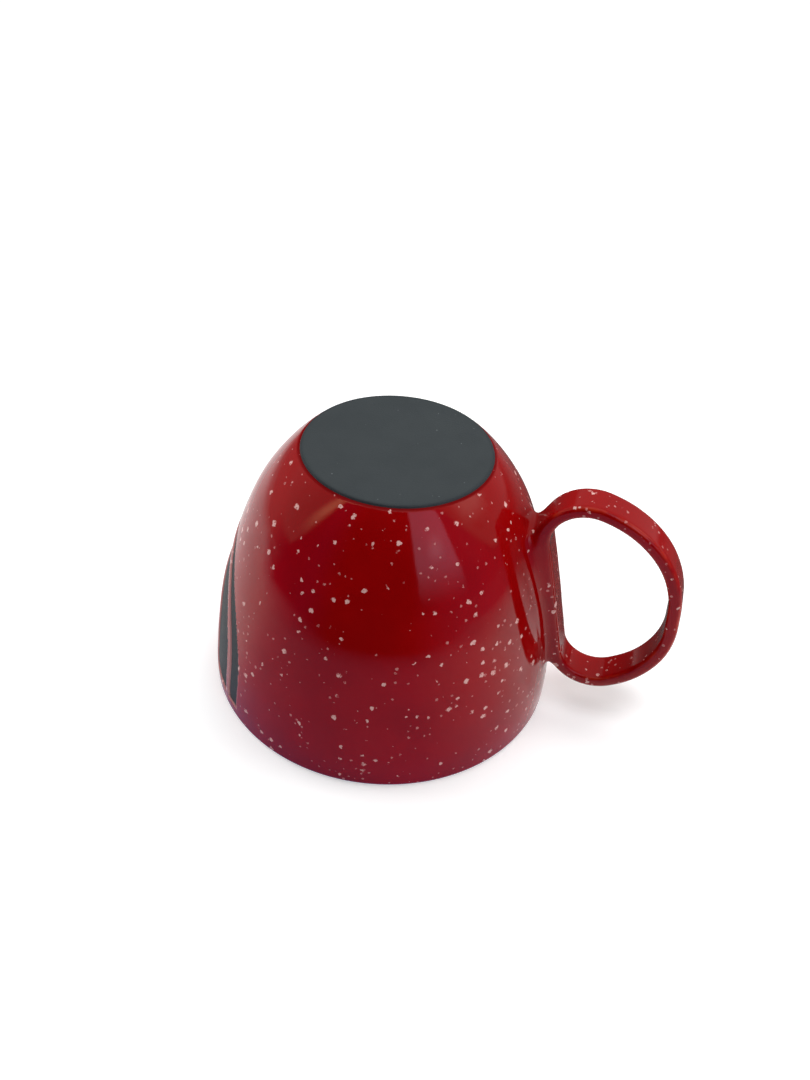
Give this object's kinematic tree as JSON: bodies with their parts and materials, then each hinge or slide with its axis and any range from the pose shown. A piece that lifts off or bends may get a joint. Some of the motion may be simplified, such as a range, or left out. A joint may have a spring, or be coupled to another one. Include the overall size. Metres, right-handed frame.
{
  "type": "one-handled ceramic cup",
  "caption": "Round-bellied stoneware coffee cup with a flat foot and a strap handle bent to a closed loop, speckled red glaze over dark clay, stored upside down on its rim.",
  "frame": {"origin": "on the cup's axis, in the plane of the rim, which is the plane it stands on when it is stored upside down as pictured", "axes": "+Z from the rim to the foot along the cup's axis, +X towards the handle; half a turn about X puts the cup the way up it is drunk from, standing on its foot"},
  "size_m": [0.1194, 0.0904, 0.0705],
  "materials": {
    "dark_stoneware": "matte, unglazed",
    "dark_slip": "matte",
    "red_glaze": "glossy, pale specks"
  },
  "bodies": {
    "root": {"clay_body": "dark_stoneware", "handle_loop": "dark_stoneware", "handle_slip_joint": "dark_slip", "outer_glaze": "red_glaze", "rim_glaze": "red_glaze", "liner_glaze": "red_glaze", "handle_glaze": "red_glaze"}
  },
  "joints": []
}
